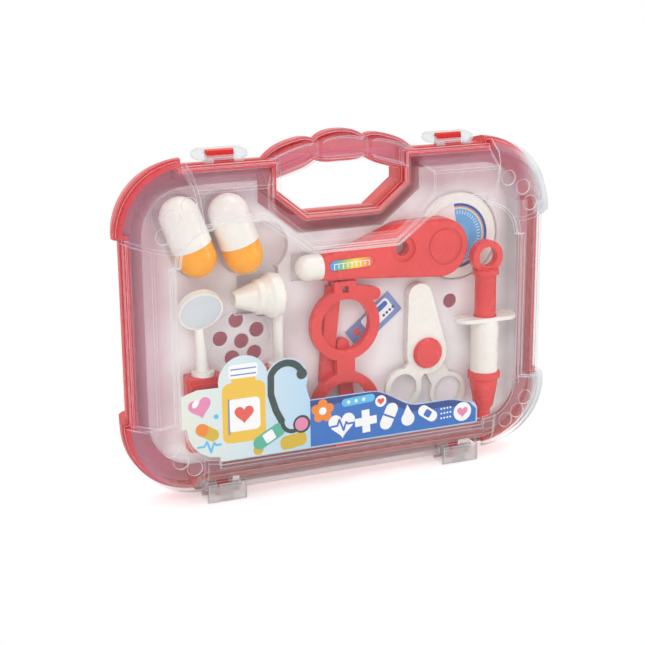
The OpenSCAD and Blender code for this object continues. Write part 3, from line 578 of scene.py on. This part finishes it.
def bend(x, z, r, a0, a1, steps=16):
    """Points along an arc."""
    angles = [math.radians(a0 + (a1 - a0) * k / steps) for k in range(steps + 1)]
    return [(x + r * math.cos(a), z + r * math.sin(a)) for a in angles]


def ease(t):
    """Runs smoothly from 0 to 1."""
    return 0.0 if t <= 0 else 1.0 if t >= 1 else (1 - math.cos(math.pi * t)) / 2


def band_top(x):
    """Top edge of the label's blue band: a hill that falls away to the right."""
    return 61.5 - 12.5 * ease((x - 10) / 32) - 4.5 * ease((x - 62) / 22)


FIRST_INK = 0.02  # thickness below the lowest layer, in mm
INK = 0.06  # each layer stands this much proud of the one below, so that layers may overlap
STAGGER = 0.006  # and the plates of one piece differ a little for the same reason


def artwork(name, on, body, colour, layer, shapes):
    """Ink laid on the front of a CAD node: each shape is a closed plate."""
    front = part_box(on)[0][1] + mm(0.02)
    plates = []
    for k, shape in enumerate(shapes):
        proud = FIRST_INK + INK * layer + STAGGER * (k % 8)
        bpy.ops.object.select_all(action="DESELECT")
        bpy.ops.mesh.primitive_circle_add(
            vertices=len(shape), fill_type="NGON", location=(0, 0, 0)
        )
        plate = bpy.context.object
        for vertex, (x, z) in zip(plate.data.vertices, shape):
            vertex.co = (mm(x), front, mm(z))
        bpy.ops.object.mode_set(mode="EDIT")
        bpy.ops.mesh.select_all(action="SELECT")
        bpy.ops.mesh.extrude_region_move(
            TRANSFORM_OT_translate={"value": (0, -mm(proud), 0)}
        )
        bpy.ops.mesh.select_all(action="SELECT")
        bpy.ops.mesh.normals_make_consistent(inside=False)
        bpy.ops.object.mode_set(mode="OBJECT")
        plates.append(plate)
    bpy.ops.object.select_all(action="DESELECT")
    for plate in plates:
        plate.select_set(True)
    bpy.context.view_layer.objects.active = plates[0]
    if len(plates) > 1:
        bpy.ops.object.join()
    piece = bpy.context.object
    piece.name = name
    piece.data.materials.append(inks[colour])
    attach(piece, body)


def label_art(name, colour, layer, shapes):
    """Ink on the lid's label."""
    artwork("label_" + name, "label", "lid", colour, layer, shapes)


# the blue band, from x = -30 to the label's right end, and its dark upper edge
FOOT_LINE = 31.8
wave = [(x, band_top(x) - 0.4) for x in range(-30, 82, 3)]
band_ends = [(-30, FOOT_LINE), (82.6, FOOT_LINE), (82.6, 40.5)]
label_art("band_blue", "blue", 1, [band_ends + wave[::-1][1:]])
label_art("band_edge_navy", "navy", 2, [line([(x, z - 2.2) for x, z in wave[:-1]], 3.8)])

# medicine bottle with a heart on its label
label_art("bottle_amber", "amber", 1, [bar(-72, 60, 27, 37, 5), bar(-72, 79.5, 15, 7, 2)])
label_art("bottle_cap_white", "white", 2, [bar(-72, 85.2, 18, 8.4, 2), bar(-72, 58.5, 20, 20, 3)])
label_art("bottle_heart_coral", "coral", 3, [heart(-72, 59, 12)])
label_art(
    "bottle_lines_steel",
    "steel",
    3,
    [bar(-72, 83.2, 16, 0.8, 0.3), bar(-72, 86.6, 16, 0.8, 0.3), bar(-81.5, 58, 1, 22, 0.4)],
)

# listening tube: a dark loop that ends in a pink chest piece
loop = bend(-45, 76, 10.5, 20, 160) + [(-55, 68), (-52, 58), (-48, 50)]
tail = bend(-41.5, 50, 6.5, 180, 330, 10)
label_art("tube_green", "green", 2, [line(loop, 4.2), line([(-48, 51)] + tail, 2.6)])
label_art("tube_ends_green", "green", 1, [disc(-35.2, 78.6, 3.4), disc(-35.6, 47.2, 5.6)])
label_art("chest_piece_pink", "pink", 3, [disc(-35.8, 47.2, 4.2)])

# small things round them
label_art("heart_pink", "pink", 1, [heart(-99, 66.5, 14, 12)])
label_art("heart_shine_white", "white", 2, [disc(-101.8, 68.8, 1.7, 1.5, -30)])
label_art("plaster_teal", "teal", 2, [bar(-56.5, 42.5, 22, 8.6, 4.3, 28)])
label_art("plaster_pad_white", "white", 3, [bar(-56.5, 42.5, 7, 6.4, 1, 28)])
label_art("pill_mustard", "mustard", 1, [bar(-95, 50.5, 15.5, 7.4, 3.7, -32)])
label_art("pill_half_orange", "orange", 2, [bar(-98.1, 52.4, 8.2, 7.4, 3.7, -32)])
label_art("dish_mustard", "mustard", 1, [bar(-41, 37.3, 17, 8.6, 3.5, 8), disc(-63.5, 35, 3.2)])
pulse = [(-101, 42), (-97, 42), (-95.4, 44.8), (-93, 38), (-91, 43.8), (-89.8, 42), (-86.8, 42)]
label_art("pulse_line_cyan", "cyan", 1, zigzag(pulse, 1.3) + [disc(-89.3, 59.5, 1.5)])


def in_row(shape):
    """Turns a shape with the row of signs, 3 degrees about (17, 44)."""
    return turned([(x - 17, z - 44) for x, z in shape], 17, 44, 3.0)


# the row of large white signs on the band
signs = [
    heart(-9.5, 44.6, 17.5),
    plus(6.5, 43.5, 14.5, 5.2),
    bar(22, 43.6, 17.5, 8.2, 4.1, 62),
    drop(34.8, 41.1, 12.4),
    bar(48.5, 40.2, 14.5, 7.2, 3.6, -38),
]
label_art("signs_white", "white", 3, [in_row(shape) for shape in signs])
beat = [(-17, 44.2), (-12.5, 44.2), (-11, 48), (-8.6, 40.6), (-6.6, 45.6), (-5.6, 44.2), (-2, 44.2)]
seam = bar(22, 43.6, 1.2, 8.3, 0.5, 62)
label_art("beat_blue", "blue", 4, [in_row(shape) for shape in (*zigzag(beat, 1.2), seam)])
label_art("plaster_pad_blue", "blue", 4, [in_row(bar(48.5, 40.2, 4.6, 4.6, 0.8, -38))])

# small things over and beside the row
label_art("tab_cyan", "cyan", 3, [bar(1.5, 57, 22, 5, 2.5, 3)])
label_art("tab_dots_white", "white", 4, [disc(x, 57 + 0.05 * (x - 1.5), 1.05) for x in (-5, 0, 5)])
label_art("badge_disc_white", "white", 4, [disc(16.5, 54.4, 3.7)])
label_art("badge_heart_coral", "coral", 5, [heart(16.5, 54.4, 4.7)])
middles = [turned([(4.4, 0)], -22, 53.4, 90 + 72 * k)[0] for k in range(5)]
label_art("flower_orange", "orange", 3, [disc(*middle, 3.1) for middle in middles])
label_art("flower_middle_white", "white", 4, [disc(-22, 53.4, 2.4)])
rows = [(58.2 + 2.1 * k, 43.4 - 3.1 * row + 0.1 * k) for row in range(3) for k in range(4)]
label_art("dotted_lines_white", "white", 3, [disc(*dot, 0.6) for dot in rows])
label_art("end_disc_white", "white", 3, [disc(73, 39.6, 6.2)])
label_art("end_heart_pink", "pink", 4, [heart(73, 39.6, 7.4)])


def face_of(node_name):
    """Width and middle of a flat CAD node, in millimetres."""
    low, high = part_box(node_name)
    return 1000 * (high[0] - low[0]), 500 * (low[0] + high[0]), 500 * (low[2] + high[2])


# the white comb of marks on the thermometer's strip: every second one is long
strip, strip_x, strip_z = face_of("thermometer_scale")
comb = [
    bar(strip * (0.1 * k - 0.4), -0.7, 0.55, 2.3 if k % 2 else 3.4, 0.2) for k in range(9)
]
comb.append(bar(0, 0.9, 0.82 * strip, 0.45, 0.15))
comb = [turned(shape, strip_x, strip_z, 1.6) for shape in comb]
artwork("scale_marks_white", "thermometer_scale", "back_case", "white", 1, comb)


def card_art(name, colour, layer, shapes):
    """Ink on the small card, which lies turned by 38.6 degrees."""
    _, x, z = face_of("picture_card")
    shapes = [turned(shape, x, z, 38.6) for shape in shapes]
    artwork("card_" + name, "picture_card", "back_case", colour, layer, shapes)


# the card's picture: a pale panel, two bands, a heart with a spot, and a row of dots
card_art("panel_white", "white", 1, [bar(4, 1, 22, 10.5, 2)])
card_art("band_blue", "blue", 2, [bar(-9, -4.2, 12, 3.2, 1.4), bar(9.5, 3.2, 8.5, 3.4, 1.5)])
card_art("heart_coral", "coral", 2, [heart(1, 1, 7.5), disc(-12.5, 2.4, 2.3)])
card_art("dots_navy", "navy", 2, [disc(7 + 2.6 * k, -2.2, 0.9) for k in range(4)])


# ---------------------------------------------------------------- studio

bpy.ops.object.select_all(action="DESELECT")
bpy.ops.mesh.primitive_plane_add(size=6, location=(0, 0, 0))
floor = bpy.context.object
floor.name = "studio_floor"
paper, tree, place = start("white_paper_sweep")
tooth = wander(tree, place, 0, 1, PAPER_TOOTH)
tone = add(tree, "Mix", {0: tooth, 6: "#F4F4F4", 7: "#F7F7F7"}, data_type="RGBA")
lit = add(tree, "BsdfDiffuse", {"Color": tone})
# for the camera alone the paper glows a little, so that it looks white
glow = add(tree, "Emission", {"Color": "#FFFFFF", "Strength": 0.42})
bright = add(tree, "AddShader", (lit, glow))
path = add(tree, "LightPath").outputs
seen = add(tree, "MixShader", (path["Is Camera Ray"], lit, bright))
# away from the case the paper gives way to the white beyond, so that an opened lid shows below it
spot = add(tree, "SeparateXYZ", (place,)).outputs
squares = []
for axis, half in (("X", 132), ("Y", 26)):
    past = add(tree, "Math", (spot[axis],), operation="ABSOLUTE")
    past = add(tree, "Math", (past, mm(half)), operation="SUBTRACT")
    past = add(tree, "Math", (past, 0.0), operation="MAXIMUM")
    squares.append(add(tree, "Math", (past, 2.0), operation="POWER"))
away = add(tree, "Math", squares, operation="ADD")
away = add(tree, "Math", (away,), operation="SQRT")
fading = add(tree, "MapRange", (away, mm(18), mm(55)))
fading = add(tree, "Math", (fading, path["Is Camera Ray"]), operation="MULTIPLY")
patch = add(tree, "MixShader", (fading, seen, add(tree, "BsdfTransparent")))
add(tree, "OutputMaterial", {"Surface": patch})
floor.data.materials.append(paper)

# a white room to look at and to mirror, which lights the case a little less than it shows
world = bpy.data.worlds.new("studio")
bpy.context.scene.world = world
world.use_nodes = True
tree = world.node_tree
tree.nodes.clear()
path = add(tree, "LightPath").outputs
mirrored = (path["Is Glossy Ray"], path["Is Transmission Ray"])
looked = add(tree, "Math", mirrored, operation="MAXIMUM")
looked = add(tree, "Math", (path["Is Camera Ray"], looked), operation="MAXIMUM")
strength = add(tree, "MapRange", {"Value": looked, "To Min": 0.74})
sky = add(tree, "Background", {"Color": "#FFFFFF", "Strength": strength})
add(tree, "OutputWorld", {"Surface": sky})


def lamp(name, place, power, size):
    """A soft rectangular light, aimed at the middle of the case."""
    light = bpy.data.lights.new(name, "AREA")
    light.energy = power
    light.shape = "RECTANGLE"
    light.size, light.size_y = size
    holder = bpy.data.objects.new(name, light)
    bpy.context.scene.collection.objects.link(holder)
    holder.location = place
    aim = Vector((0, 0, 0.1)) - Vector(place)
    holder.rotation_euler = aim.to_track_quat("-Z", "Y").to_euler()


lamp("key_softbox", (-0.9, -1.1, 1.3), 8, (0.7, 0.7))
lamp("top_softbox", (0.3, 0.1, 1.5), 6, (1.0, 0.5))
lamp("side_strip", (1.3, -0.7, 0.5), 3.5, (0.25, 0.9))
